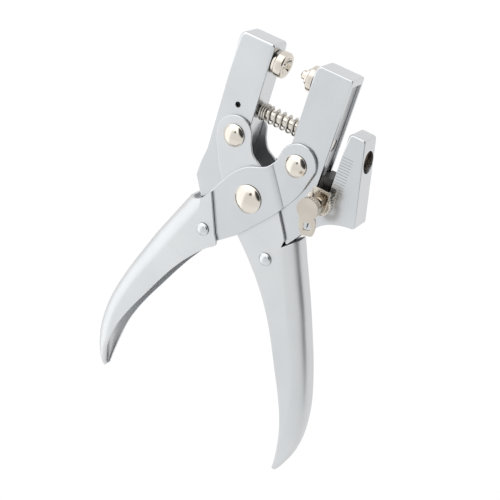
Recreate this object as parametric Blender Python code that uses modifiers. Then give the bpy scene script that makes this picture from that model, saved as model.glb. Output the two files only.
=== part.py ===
# Parallel-jaw eyelet pliers with a side hole punch.
#
# Millimetre numbers below are scaled to metres as the meshes are made.
# Frame: the tool lies flat on its back.  +X runs across the jaws, +Y runs
# along the jaws towards their tips, +Z is the thickness.  The origin is the
# main pivot's axis on the plane the tool rests on.
import math

import bmesh
import bpy
from mathutils import Matrix, Vector

MM = 0.001
GAP = 0.25                 # running clearance between neighbours
T = 0.9                    # handle and link sheet
LV = T + GAP               # one sheet level

# ---- levels through the thickness -----------------------------------------
JAW_D = 9.3
Z_JB = 3 * LV              # back face of the jaws
Z_JF = Z_JB + JAW_D        # front face of the jaws
Z_MID = (Z_JB + Z_JF) / 2
L1 = (Z_JF + GAP, Z_JF + GAP + T)              # right handle walls
L2 = (L1[1] + GAP, L1[1] + GAP + T)            # left links
L3 = (L2[1] + GAP, L2[1] + GAP + T)            # left handle walls
THICK = 2 * Z_MID                              # overall without rivet heads

# ---- plan dimensions -------------------------------------------------------
JAW_IN, JAW_OUT = 8.0, 21.3
JAW_RIVET = (12.34, 18.35)
HANDLE_RIVET = (12.45, -18.1)
ROD_Y, ROD_R = 28.5, 2.0
DIE_Y = 46.2
LEFT_DIE_X, RIGHT_DIE_X = -3.8, 2.2
JAW_WALL = 1.2
ARM_IN = 25.9
STOP_AXIS = (24.1, 10.4)
PIN_X = -14.7
SET_X = 13.2

# ---- housekeeping ----------------------------------------------------------
for ob in list(bpy.data.objects):
    bpy.data.objects.remove(ob, do_unlink=True)
PARTS = bpy.data.collections.new("parallel_eyelet_pliers")
CUTS = bpy.data.collections.new("cutters")
bpy.context.scene.collection.children.link(PARTS)
bpy.context.scene.collection.children.link(CUTS)


def material(name, rgb, rough, metal=1.0):
    m = bpy.data.materials.new(name)
    m.use_nodes = True
    b = m.node_tree.nodes["Principled BSDF"]
    b.inputs["Base Color"].default_value = (*rgb, 1)
    b.inputs["Roughness"].default_value = rough
    b.inputs["Metallic"].default_value = metal
    m.diffuse_color = (*rgb, 1)
    return m


CHROME = material("chrome_plate", (0.72, 0.74, 0.77), 0.12)
NICKEL = material("nickel_plate", (0.72, 0.67, 0.61), 0.2)
BRASS = material("brass", (0.45, 0.30, 0.15), 0.35)
STEEL = material("dark_steel", (0.25, 0.25, 0.26), 0.4)
SPRING = material("spring_steel", (0.62, 0.60, 0.58), 0.25)


def add(name, mesh, mat, coll=PARTS):
    ob = bpy.data.objects.new(name, mesh)
    coll.objects.link(ob)
    if mat:
        mesh.materials.clear()
        mesh.materials.append(mat)
    if coll is CUTS:
        ob.hide_render = True
        ob.display_type = 'WIRE'
    return ob


def smooth(ob, angle=35):
    ob.data.shade_smooth()
    ob.data.set_sharp_from_angle(angle=math.radians(angle))


def circle(cx, cy, r, n=28):
    return [(cx + r * math.cos(2 * math.pi * i / n),
             cy + r * math.sin(2 * math.pi * i / n)) for i in range(n)]


def arc(cx, cy, r, a0, a1, n):
    return [(cx + r * math.cos(math.radians(a0 + (a1 - a0) * i / n)),
             cy + r * math.sin(math.radians(a0 + (a1 - a0) * i / n)))
            for i in range(n + 1)]


def catmull(p, n=4):
    """Open Catmull-Rom curve through p, n steps a span."""
    out = []
    for i in range(len(p) - 1):
        a = p[max(i - 1, 0)]
        b, c = p[i], p[i + 1]
        d = p[min(i + 2, len(p) - 1)]
        for k in range(n):
            t = k / n
            out.append(tuple(
                0.5 * (2 * b[j] + (c[j] - a[j]) * t
                       + (2 * a[j] - 5 * b[j] + 4 * c[j] - d[j]) * t * t
                       + (3 * b[j] - a[j] - 3 * c[j] + d[j]) * t ** 3)
                for j in range(len(b))))
    out.append(tuple(p[-1]))
    return out


def mirror_x(pts):
    return [(-x, y) for x, y in reversed(pts)]


def flat(name, loops, z0, z1, mat=None, coll=PARTS):
    """A flat outline (first loop) with holes, extruded from z0 to z1."""
    cu = bpy.data.curves.new(name, 'CURVE')
    cu.dimensions = '2D'
    cu.fill_mode = 'BOTH'
    cu.extrude = (z1 - z0) / 2 * MM
    for loop in loops:
        sp = cu.splines.new('POLY')
        sp.points.add(len(loop) - 1)
        for p, (x, y) in zip(sp.points, loop):
            p.co = (x * MM, y * MM, 0, 1)
        sp.use_cyclic_u = True
    tmp = bpy.data.objects.new(name + "_outline", cu)
    bpy.context.scene.collection.objects.link(tmp)
    dg = bpy.context.evaluated_depsgraph_get()
    me = bpy.data.meshes.new_from_object(tmp.evaluated_get(dg))
    bpy.data.objects.remove(tmp, do_unlink=True)
    bm = bmesh.new()
    bm.from_mesh(me)
    bmesh.ops.translate(bm, verts=bm.verts, vec=(0, 0, (z0 + z1) / 2 * MM))
    bmesh.ops.remove_doubles(bm, verts=bm.verts, dist=1e-7)
    bmesh.ops.recalc_face_normals(bm, faces=bm.faces)
    bm.to_mesh(me)
    bm.free()
    me.name = name
    return add(name, me, mat, coll)


def turned(name, prof, at=(0, 0, 0), axis='Z', mat=None, steps=24, coll=PARTS):
    """Profile (radius, height) from the top of the axis to the bottom."""
    me = bpy.data.meshes.new(name)
    bm = bmesh.new()
    vs = [bm.verts.new((max(r, 0.0) * MM, 0, h * MM)) for r, h in prof]
    for a, b in zip(vs, vs[1:]):
        bm.edges.new((a, b))
    closed = prof[0] == prof[-1]
    if closed:
        bmesh.ops.remove_doubles(bm, verts=bm.verts, dist=1e-8)
    bm.to_mesh(me)
    bm.free()
    ob = add(name, me, mat, coll)
    sc = ob.modifiers.new("turn", 'SCREW')
    sc.axis = 'Z'
    sc.angle = 2 * math.pi
    sc.steps = sc.render_steps = steps
    sc.use_merge_vertices = True
    sc.merge_threshold = 0.000005
    dg = bpy.context.evaluated_depsgraph_get()
    m2 = bpy.data.meshes.new_from_object(ob.evaluated_get(dg))
    ob.modifiers.clear()
    rot = {'Z': Matrix.Identity(4),
           'X': Matrix.Rotation(math.radians(90), 4, 'Y'),
           'Y': Matrix.Rotation(math.radians(-90), 4, 'X')}[axis]
    m2.transform(Matrix.Translation(Vector(at) * MM) @ rot)
    bm = bmesh.new()
    bm.from_mesh(m2)
    bmesh.ops.remove_doubles(bm, verts=bm.verts, dist=2e-7)
    bmesh.ops.dissolve_degenerate(bm, edges=bm.edges, dist=1e-8)
    bmesh.ops.recalc_face_normals(bm, faces=bm.faces)
    bm.to_mesh(m2)
    bm.free()
    ob.data = m2
    if mat:
        m2.materials.clear()
        m2.materials.append(mat)
    smooth(ob)
    return ob


def rod_cut(name, at, axis, r, length, steps=28):
    h = length / 2
    return turned(name, [(0, h), (r, h), (r, -h), (0, -h)], at, axis,
                  None, steps, CUTS)


def boolean(ob, cutter, op='DIFFERENCE'):
    m = ob.modifiers.new(op.lower(), 'BOOLEAN')
    m.object = cutter
    m.operation = op
    m.solver = 'EXACT'
    return m


def bake(ob):
    dg = bpy.context.evaluated_depsgraph_get()
    me = bpy.data.meshes.new_from_object(ob.evaluated_get(dg))
    ob.modifiers.clear()
    ob.data = me
    bm = bmesh.new()
    bm.from_mesh(me)
    bmesh.ops.remove_doubles(bm, verts=bm.verts, dist=1e-6)
    bmesh.ops.dissolve_degenerate(bm, edges=bm.edges, dist=1e-6)
    bm.to_mesh(me)
    bm.free()
    return ob


def dome(r, h, n=4):
    """Head outline from the top centre out to the rim (radius, height)."""
    R = (r * r + h * h) / (2 * h)
    top = math.asin(min(1, r / R))
    return [(R * math.sin(top * i / n), h - R * (1 - math.cos(top * i / n)))
            for i in range(n + 1)]


# ---- handle channels -------------------------------------------------------
# Inner edge and outer edge of the right handle, station by station.
RAIL = [((6.0, -21.0), (21.8, -8.2)), ((8.8, -24.0), (24.4, -14.0)),
        ((11.7, -27.2), (27.2, -20.2)), ((16.6, -33.6), (31.4, -29.5)),
        ((20.8, -40.2), (35.4, -39.2)), ((24.8, -47.6), (39.4, -49.3)),
        ((28.7, -55.5), (42.6, -58.8)), ((32.6, -63.3), (44.8, -67.2)),
        ((36.0, -71.2), (45.9, -75.2)), ((38.2, -78.0), (46.0, -82.0)),
        ((39.4, -84.5), (45.0, -88.5)), ((39.9, -90.5), (43.3, -93.7)),
        ((39.9, -95.0), (41.9, -97.0)), ((39.5, -97.6), (40.7, -98.9))]


def half_width(y, wide):
    """Half the channel's width at a station whose outer edge is at y."""
    keys = ([(-8, 8.1), (-27, 8.1), (-46, 7.0), (-62, 6.3), (-80, 5.7),
             (-89, 5.1), (-94, 4.1), (-97.2, 2.8), (-99, 1.7)] if wide else
            [(-8, 5.8), (-60, 5.8), (-80, 5.5), (-89, 4.9),
             (-94, 3.9), (-97.2, 2.7), (-99, 1.7)])
    if y >= keys[0][0]:
        return keys[0][1]
    for (y0, w0), (y1, w1) in zip(keys, keys[1:]):
        if y >= y1:
            return w0 + (w1 - w0) * (y0 - y) / (y0 - y1)
    return keys[-1][1]


def channel(name, side, wide, mat):
    """U-section handle: a loft of U-shaped sections along the rail."""
    top = ([((9.5, -15.5), (19.4, -3.0)), RAIL[0]] if wide else
           [((6.0, -21.0), (21.2, -6.8))])
    flatrail = [(a[0], a[1], b[0], b[1]) for a, b in top + RAIL[1:]]
    rows = catmull(flatrail, 1)
    NA = 5
    round_plan, round_thick = (7.2, 5.4) if wide else (7.0, 4.8)

    def section(ix, iy, ox, oy, hw, t):
        """Path of one skin from the front edge round to the back edge."""
        dx, dy = ox - ix, oy - iy
        L = math.hypot(dx, dy)
        ux, uy = dx / L, dy / L
        reach = L - t
        h = hw - t
        rx = min(round_plan - t, reach * 0.92)     # corner along the plan
        rz = min(round_thick - t, h * 0.93)         # corner through the thickness
        rx = max(rx, 0.12)
        rz = max(rz, 0.12)
        pts = [(0, h), ((reach - rx) * 0.5, h)]
        for i in range(NA + 1):
            a = math.radians(90 - 90 * i / NA)
            pts.append((reach - rx + rx * math.cos(a),
                        h - rz + rz * math.sin(a)))
        pts += [(u, -z) for u, z in reversed(pts)]
        return [(side * (ix + ux * u), iy + uy * u, Z_MID + z)
                for u, z in pts]

    bm = bmesh.new()
    rings = []
    for ix, iy, ox, oy in rows:
        hw = half_width(oy, wide)
        ring = section(ix, iy, ox, oy, hw, 0.0)
        ring += list(reversed(section(ix, iy, ox, oy, hw, T)))
        rings.append([bm.verts.new([c * MM for c in p]) for p in ring])
    n = len(rings[0])
    for a, b in zip(rings, rings[1:]):
        for i in range(n):
            j = (i + 1) % n
            bm.faces.new((a[i], a[j], b[j], b[i]))
    half = n // 2
    for ring in (rings[0], rings[-1]):
        for i in range(half - 1):
            bm.faces.new((ring[i], ring[i + 1],
                          ring[n - 2 - i], ring[n - 1 - i]))
    bmesh.ops.recalc_face_normals(bm, faces=bm.faces)
    me = bpy.data.meshes.new(name)
    bm.to_mesh(me)
    bm.free()
    ob = add(name, me, mat)
    smooth(ob, 40)
    return ob


# ---- right handle: channel with its two link plates in one pressing ---------
link_head = arc(-JAW_RIVET[0], 18.5, 6.9, 28, 190, 12)
R_LINK = ([(6.0, -21.0), (8.8, -22.6), (14.6, -17.2), (16.4, -12.0),
           (17.0, -8.2)]
          + catmull([(16.2, -6.6), (11.7, 0.6), (9.6, 3.4), (8.2, 5.4),
                     (5.8, 8.0), (2.8, 10.5), (0.0, 12.7), (-3.5, 14.8),
                     (-5.4, 18.2)], 3)
          + link_head
          + catmull([(-18.6, 14.6), (-17.1, 11.3), (-15.1, 6.8),
                     (-13.2, 3.2), (-10.9, -0.7)], 3)
          + [(-5.2, -8.0), (0.0, -15.3)])
HOLE_MAIN = circle(0, 0, 3.05)
right_handle = channel("right_handle", 1, False, CHROME)
for k, (z0, z1) in enumerate((L1, (2 * Z_MID - L1[1], 2 * Z_MID - L1[0]))):
    link = flat("right_link_%d" % k,
                [R_LINK, HOLE_MAIN, circle(-JAW_RIVET[0], JAW_RIVET[1], 2.45)],
                z0, z1, None, CUTS)
    boolean(right_handle, link, 'UNION')
boolean(right_handle, rod_cut("cut_rh", (*HANDLE_RIVET, Z_MID), 'Z', 1.55, 40,
                              20))
bake(right_handle)
smooth(right_handle, 40)

# ---- left handle: outer channel ----------------------------------------------
left_handle = channel("left_handle", -1, True, CHROME)
# the upper end is sheared off along a slant
boolean(left_handle, flat("cut_lh_end", [[
    (-11.0, -2.5), (-13.6, -3.6), (-16.9, -8.1), (-19.5, -9.6),
    (-27.0, -11.6), (-27.0, 1.0), (-11.0, 1.0)][::-1]], -1.0, 17.5, None,
    CUTS))
L_WALL = [(-6.0, -21.0), (-8.8, -22.6), (-14.6, -17.2), (-15.9, -12.4),
          (-16.7, -7.9), (-13.6, -3.6), (-7.0, -19.6)][::-1]
for k, (z0, z1) in enumerate((L3, (2 * Z_MID - L3[1], 2 * Z_MID - L3[0]))):
    wall = flat("left_wall_%d" % k, [L_WALL], z0, z1, None, CUTS)
    boolean(left_handle, wall, 'UNION')
boolean(left_handle, rod_cut("cut_lh", (-HANDLE_RIVET[0], HANDLE_RIVET[1],
                                        Z_MID), 'Z', 1.55, 40, 20))
bake(left_handle)
smooth(left_handle, 40)

# ---- left links: two flat plates joggled down onto the right jaw -------------
R_END = arc(JAW_RIVET[0] + 0.2, 19.3, 6.9, -12, 158, 12)
LINK = (R_END
        + catmull([(5.1, 17.3), (3.3, 14.4), (0.6, 12.7), (-3.7, 10.8),
                   (-7.5, 7.5), (-10.6, 3.0), (-14.2, -3.4)], 3)
        + [(-16.2, -8.6), (-16.4, -12.6), (-14.9, -20.6), (-9.2, -22.2),
           (-6.9, -20.7), (-0.4, -15.0)]
        + catmull([(5.2, -8.0), (10.9, -0.7), (13.2, 3.2), (15.4, 6.9),
                   (17.6, 11.8)], 3))
JOG_A = Vector((3.35, 13.9, 0))
JOG_B = Vector((12.1, 1.1, 0))
JOG_W = 1.35


def link_plate(name, front):
    z0, z1 = L2
    ob = flat(name, [LINK], z0, z1, CHROME)
    bm = bmesh.new()
    bm.from_mesh(ob.data)
    d = (JOG_B - JOG_A).normalized()
    nrm = Vector((-d.y, d.x, 0))
    if nrm.x < 0:
        nrm = -nrm
    for off in (0.0, JOG_W):
        bmesh.ops.bisect_plane(
            bm, geom=list(bm.verts) + list(bm.edges) + list(bm.faces),
            plane_co=(JOG_A + nrm * off) * MM, plane_no=nrm)
    for v in bm.verts:
        s = (Vector((v.co.x, v.co.y, 0)) - JOG_A * MM).dot(nrm) / (JOG_W * MM)
        v.co.z -= LV * MM * max(0.0, min(1.0, s))
    if not front:
        for v in bm.verts:
            v.co.z = 2 * Z_MID * MM - v.co.z
    bmesh.ops.triangulate(bm, faces=[f for f in bm.faces if len(f.verts) > 4])
    bmesh.ops.recalc_face_normals(bm, faces=bm.faces)
    bm.to_mesh(ob.data)
    bm.free()
    tag = name[-5:]
    boolean(ob, rod_cut("cut_a_" + tag, (0, 0, Z_MID), 'Z', 3.05, 40))
    boolean(ob, rod_cut("cut_b_" + tag, (*JAW_RIVET, Z_MID), 'Z', 2.45, 40))
    boolean(ob, rod_cut("cut_c_" + tag, (-HANDLE_RIVET[0], HANDLE_RIVET[1],
                                         Z_MID), 'Z', 1.55, 40, 20))
    bake(ob)
    return ob


link_front = link_plate("left_link_front", True)
link_back = link_plate("left_link_back", False)


# ---- rivets ------------------------------------------------------------------
def rivet(name, at, r, top, bottom, head_r, head_h, back_r, back_h, mat):
    """Domed front head on top; a head flattened on the back."""
    d = dome(head_r, head_h - 0.25)
    prof = [(a, top + 0.25 + b) for a, b in d]
    prof += [(head_r, top), (r, top), (r, bottom)]
    if back_h > 0:
        prof += [(back_r, bottom), (back_r, bottom - back_h * 0.35),
                 (back_r * 0.93, bottom - back_h * 0.7),
                 (back_r * 0.74, bottom - back_h)]
        prof += [(0, bottom - back_h)]
    else:
        prof += [(0, bottom)]
    return turned(name, prof, (at[0], at[1], 0), 'Z', mat, 20)


BACK1 = 2 * Z_MID - L1[1]
BACK2 = 2 * Z_MID - L2[1]
rivet("main_pivot_rivet", (0, 0), 2.8, L2[1] + GAP, BACK2 - GAP,
      5.15, 2.45, 5.0, BACK2 - GAP, NICKEL)
rivet("left_jaw_rivet", (-JAW_RIVET[0], JAW_RIVET[1]), 2.2, L1[1] + GAP,
      BACK1 - GAP, 4.0, 2.15, 4.0, BACK1 - GAP, NICKEL)
rivet("right_jaw_rivet", JAW_RIVET, 2.2, L1[1] + GAP, BACK1 - GAP,
      4.0, 2.15, 4.0, BACK1 - GAP, NICKEL)
rivet("right_handle_rivet", HANDLE_RIVET, 1.3, L1[1] + GAP, BACK1 - GAP,
      2.35, 1.25, 2.35, BACK1 - GAP, CHROME)
rivet("left_handle_rivet", (-HANDLE_RIVET[0], HANDLE_RIVET[1]), 1.3,
      L3[1] + GAP, 0.0, 2.35, 1.25, 0, 0, CHROME)


def tube(name, at, ro, ri, z0, z1, mat, axis='Z', steps=22):
    prof = [(ro, z1), (ro, z0), (ri, z0), (ri, z1), (ro, z1)]
    return turned(name, prof, at, axis, mat, steps)


tube("main_pivot_spacer", (0, 0, 0), 3.9, 3.1, Z_JB, Z_JF, STEEL)
tube("right_handle_spacer", (*HANDLE_RIVET, 0), 3.1, 1.6, Z_JB, Z_JF, STEEL)
tube("left_handle_spacer", (-HANDLE_RIVET[0], HANDLE_RIVET[1], 0), 3.1, 1.6,
     2 * Z_MID - L2[0] + GAP, L2[0] - GAP, STEEL)

# ---- jaws --------------------------------------------------------------------
JAW_TOP = 52.6


def jaw_outline(inner_r, outer_r, n):
    """Outline of a jaw shell; the two top corners have their own radii."""
    return (arc(8.0 + inner_r, JAW_TOP - inner_r, inner_r, 180, 90, n)
            + arc(21.3 - outer_r, JAW_TOP - outer_r, outer_r, 90, 0, n)
            + [(21.3, 9.0), (22.3, 3.0), (22.6, -1.9), (17.3, -9.6),
               (15.4, -7.4), (11.0, 1.0), (8.0, 8.0)])


JAW_R = jaw_outline(2.0, 0.7, 4)
JAW_L = jaw_outline(1.1, 2.3, 4)
POCKET = [(9.2, -30.0), (30.0, -30.0), (30.0, 50.2), (18.8, 50.2),
          (18.0, 51.0), (10.6, 51.0), (9.6, 50.5), (9.2, 49.4)]
CORE_R = [(9.45, 12.6), (20.4, 12.6), (20.4, 49.9), (18.7, 49.9),
          (17.9, 50.7), (10.7, 50.7), (9.8, 50.3), (9.45, 49.2)]
CORE_L = [(x, y if y > 20 else 6.0) for x, y in CORE_R]
PZ0, PZ1 = Z_JB + JAW_WALL, Z_JF - JAW_WALL
CZ0, CZ1 = PZ0 + GAP, PZ1 - GAP


def jaw(side):
    nm = "right" if side > 0 else "left"

    def sd(pts):
        return pts if side > 0 else mirror_x(pts)
    hs = flat(nm + "_jaw_housing", [sd(JAW_R if side > 0 else JAW_L)],
              Z_JB, Z_JF, CHROME)
    boolean(hs, flat(nm + "_pocket", [sd(POCKET)], PZ0, PZ1, None, CUTS))
    boolean(hs, rod_cut(nm + "_cut_web", (side * 8.6, ROD_Y, Z_MID), 'X',
                        ROD_R + 0.3, 4, 24))
    boolean(hs, rod_cut(nm + "_cut_die", (side * 8.6, DIE_Y, Z_MID), 'X',
                        2.2, 4, 20))
    boolean(hs, rod_cut(nm + "_cut_rivet", (side * JAW_RIVET[0], JAW_RIVET[1],
                                            Z_MID), 'Z', 2.45, 30, 24))
    boolean(hs, rod_cut(nm + "_cut_set", (side * SET_X, DIE_Y, 3.9), 'Z',
                        1.45, 2.4, 16))
    if side < 0:
        boolean(hs, rod_cut("cut_pin_wall", (PIN_X, ROD_Y, Z_MID), 'Z', 1.05,
                            30, 16))
    bake(hs)
    core = flat(nm + "_jaw_core", [sd(CORE_R if side > 0 else CORE_L)],
                CZ0, CZ1, STEEL)
    boolean(core, rod_cut(nm + "_core_rod", (side * 15, ROD_Y, Z_MID), 'X',
                          ROD_R + (0.15 if side > 0 else 0.25), 30, 24))
    boolean(core, rod_cut(nm + "_core_die", (side * 12, DIE_Y, Z_MID), 'X',
                          2.2, 12, 20))
    boolean(core, rod_cut(nm + "_core_rivet", (side * JAW_RIVET[0],
                                               JAW_RIVET[1], Z_MID), 'Z',
                          2.45, 30, 24))
    boolean(core, rod_cut(nm + "_core_set", (side * SET_X, DIE_Y, 5.4), 'Z',
                          1.45, 2.4, 16))
    if side < 0:
        boolean(core, rod_cut("cut_pin_core", (PIN_X, ROD_Y, Z_MID), 'Z',
                              0.95, 30, 16))
    bake(core)
    return hs, core


jaw(-1)
jaw(1)

# ---- guide rod, cross pin, spring ---------------------------------------------
# profile heights run along +X once turned onto the X axis
rod = turned("guide_rod_punch", [(0, 20.3), (1.9, 20.3), (2.0, 20.2),
                                 (2.0, -19.3), (1.7, -19.6), (0, -19.6)],
             (0, ROD_Y, Z_MID), 'X', NICKEL, 24)
boolean(rod, rod_cut("cut_rod_pin", (PIN_X, ROD_Y, Z_MID), 'Z', 0.95, 30, 16))
bake(rod)
smooth(rod)
turned("rod_cross_pin", [(0, CZ1), (0.7, CZ1), (0.7, CZ0), (0, CZ0)],
       (PIN_X, ROD_Y, 0), 'Z', STEEL, 14)

WIRE = 0.7
COIL_R = 2.8


def spring_points():
    """Closed coils at the fixed end, then the open working coils."""
    x0, x1 = -JAW_IN + GAP + WIRE / 2, JAW_IN - GAP - WIRE / 2
    closed_turns, open_turns, end_turns = 2.6, 5.0, 0.9
    pitch_c = WIRE * 1.22
    pitch_o = (x1 - x0 - pitch_c * (closed_turns + end_turns)) / open_turns
    pts, per = [], 12
    total = closed_turns + open_turns + end_turns
    n = int(total * per)
    for i in range(n + 1):
        t = total * i / n
        if t < closed_turns:
            x = x0 + pitch_c * t
        elif t < closed_turns + open_turns:
            x = x0 + pitch_c * closed_turns + pitch_o * (t - closed_turns)
        else:
            x = x1 - pitch_c * (total - t)
        a = 2 * math.pi * t
        pts.append((x, ROD_Y + COIL_R * math.cos(a),
                    Z_MID + COIL_R * math.sin(a)))
    return pts


def wire(name, pts, r, mat):
    cu = bpy.data.curves.new(name, 'CURVE')
    cu.dimensions = '3D'
    cu.bevel_depth = r * MM
    cu.bevel_resolution = 2
    cu.use_fill_caps = True
    cu.resolution_u = 1
    sp = cu.splines.new('POLY')
    sp.points.add(len(pts) - 1)
    for p, c in zip(sp.points, pts):
        p.co = (c[0] * MM, c[1] * MM, c[2] * MM, 1)
    tmp = bpy.data.objects.new(name + "_path", cu)
    bpy.context.scene.collection.objects.link(tmp)
    dg = bpy.context.evaluated_depsgraph_get()
    me = bpy.data.meshes.new_from_object(tmp.evaluated_get(dg))
    bpy.data.objects.remove(tmp, do_unlink=True)
    bm = bmesh.new()
    bm.from_mesh(me)
    bmesh.ops.remove_doubles(bm, verts=bm.verts, dist=1e-6)
    bmesh.ops.recalc_face_normals(bm, faces=bm.faces)
    bm.to_mesh(me)
    bm.free()
    ob = add(name, me, mat)
    smooth(ob)
    return ob


wire("return_spring", spring_points(), WIRE / 2, SPRING)

# ---- setting dies --------------------------------------------------------------
# left: cupped die, face towards +X
turned("left_die", [(0, LEFT_DIE_X - 0.2), (0.9, LEFT_DIE_X - 0.5),
                    (1.5, LEFT_DIE_X - 1.2), (2.3, LEFT_DIE_X - 1.0),
                    (2.9, LEFT_DIE_X), (4.1, LEFT_DIE_X),
                    (4.5, LEFT_DIE_X - 0.4), (4.5, -6.6), (4.2, -7.0),
                    (4.2, -JAW_IN + GAP), (1.95, -JAW_IN + GAP),
                    (1.95, -16.2), (0, -16.2)],
       (0, DIE_Y, Z_MID), 'X', NICKEL, 22)
# right: stepped die with a nose, face towards -X
turned("right_die", [(0, 16.2), (1.95, 16.2), (1.95, JAW_IN - GAP),
                     (4.5, JAW_IN - GAP), (4.5, 5.9), (4.1, 5.5), (3.0, 5.5),
                     (2.9, 4.4), (2.4, 4.2), (1.65, 4.1),
                     (1.6, RIGHT_DIE_X + 0.5), (1.1, RIGHT_DIE_X),
                     (0, RIGHT_DIE_X)],
       (0, DIE_Y, Z_MID), 'X', NICKEL, 22)
for nm, sx in (("left", -SET_X), ("right", SET_X)):
    turned(nm + "_die_set_screw",
           [(0, 5.85), (0.7, 5.85), (1.15, 5.4), (1.15, 4.0), (1.05, 3.7),
            (0.6, 3.7), (0.55, 5.0), (0, 5.0)],
           (sx, DIE_Y, 0), 'Z', STEEL, 16)

# ---- punch arm, carried in the right jaw's channel ------------------------------
ARM = ([(ARM_IN, 7.8), (ARM_IN, 35.2), (26.3, 36.05), (27.1, 36.4),
        (30.9, 36.4), (31.7, 36.05), (32.0, 35.4)]
       + [(38.3, 7.6), (38.1, 6.9)]
       + catmull([(37.4, 6.6), (35.0, 6.2), (32.0, 5.3), (29.0, 3.9),
                  (26.6, 2.0), (24.6, -0.6)], 2)
       + [(22.95, -1.2), (22.6, 3.0), (21.6, 7.8)])
arm = flat("punch_arm", [ARM], Z_JB, Z_JF, CHROME)
tongue = flat("arm_tongue", [[(11.4, 2.2), (23.4, 2.2), (23.4, 7.5),
                              (20.6, 7.6), (20.6, 12.2), (9.5, 12.2),
                              (9.5, 6.4)]], CZ0, CZ1, None, CUTS)
boolean(arm, tongue, 'UNION')
boolean(arm, rod_cut("cut_bush", (32, ROD_Y, Z_MID), 'X', 3.75, 20, 28))
bake(arm)
turned("punch_die_bush", [(3.05, 31.2), (3.3, 31.2), (3.5, 31.0),
                          (3.5, ARM_IN + 0.1), (2.15, ARM_IN + 0.1),
                          (2.15, 28.2), (3.05, 28.4), (3.05, 31.2)],
       (0, ROD_Y, Z_MID), 'X', BRASS, 24)

# ---- adjustable depth stop -------------------------------------------------------
sx, sy = STOP_AXIS
S0, S1 = JAW_OUT + GAP, ARM_IN - GAP
slide = flat("stop_slide", [[(S0, 8.2), (S1, 8.2), (S1, 19.2), (S0, 19.2)]],
             Z_JB + 1.4, Z_JF - 0.3, STEEL)
boolean(slide, rod_cut("cut_slide", (sx, sy, Z_JF), 'Z', 1.45, 14, 20))
bake(slide)
LN0, LN1 = Z_JF + 0.3, Z_JF + 1.9
tube("stop_lock_nut", (sx, sy, 0), 4.7, 1.45, LN0, LN1, NICKEL, steps=36)
BR0, BR1 = LN1 + GAP, LN1 + GAP + 1.0
bracket = flat("stop_bracket",
               [[(sx - 3.1, sy - 2.6), (sx + 3.1, sy - 2.6),
                 (sx + 3.5, sy - 2.2), (sx + 3.5, sy + 5.2),
                 (sx + 3.1, sy + 5.7), (sx - 2.7, sy + 5.7),
                 (sx - 3.1, sy + 5.2)], circle(sx, sy, 2.1, 24)],
               BR0, BR1, NICKEL)
tube("stop_collar", (sx, sy, 0), 1.85, 1.45, BR0 - 0.05, BR1 + 1.1, NICKEL,
     steps=24)
TN0 = BR1 + 3.3
TN1 = TN0 + 2.1
tube("thumb_nut", (sx, sy, 0), 3.75, 1.45, TN0, TN1, NICKEL, steps=32)
turned("stop_screw", [(0, TN1), (1.2, TN1), (1.2, Z_JF - 6.0),
                      (0.8, Z_JF - 6.4), (0, Z_JF - 6.4)],
       (sx, sy, 0), 'Z', NICKEL, 20)
PD0, PD1 = TN1 + GAP, TN1 + GAP + 0.9
PTURN = math.radians(17)


def turn_about(pts, a):
    c, s = math.cos(a), math.sin(a)
    return [(sx + x * c - y * s, sy + x * s + y * c) for x, y in pts]


paddle_out = (arc(0, 0, 3.8, -50, 230, 20)
              + [(-3.0, -3.6), (-2.8, -6.4), (-1.9, -9.2), (1.9, -9.2),
                 (2.8, -6.4), (3.0, -3.6)])
paddle_win = [(-1.35, -7.2), (1.35, -7.2), (1.35, -4.6), (-1.35, -4.6)]
flat("thumb_paddle", [turn_about(paddle_out, PTURN),
                      turn_about(paddle_win, PTURN)], PD0, PD1, NICKEL)

# ---- joint frames -----------------------------------------------------------------
def frame_at(name, at, children):
    e = bpy.data.objects.new(name, None)
    e.empty_display_size = 0.01
    PARTS.objects.link(e)
    e.location = Vector(at) * MM
    for c in children:
        ob = bpy.data.objects[c]
        ob.parent = e
        ob.matrix_parent_inverse = Matrix.Translation(-Vector(at) * MM)
    return e


frame_at("handle_pivot_axis", (0, 0, 0),
         ["left_handle", "left_link_front", "left_link_back",
          "left_handle_rivet", "left_handle_spacer"])
frame_at("left_jaw_axis", (-JAW_RIVET[0], JAW_RIVET[1], 0),
         ["left_jaw_housing", "left_jaw_core", "left_die",
          "left_die_set_screw", "guide_rod_punch", "rod_cross_pin",
          "return_spring"])
frame_at("right_jaw_axis", (*JAW_RIVET, 0),
         ["right_jaw_housing", "right_jaw_core", "right_die",
          "right_die_set_screw", "punch_arm", "punch_die_bush",
          "right_jaw_rivet"])
frame_at("stop_axis", (sx, sy, 0),
         ["stop_slide", "stop_bracket", "stop_collar", "stop_lock_nut",
          "stop_screw", "thumb_nut", "thumb_paddle"])
bpy.context.view_layer.update()
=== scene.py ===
# Looks of the parallel-jaw eyelet and hole punch pliers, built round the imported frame.
import math

import bmesh
import bpy
from mathutils import Matrix, Vector


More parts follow.
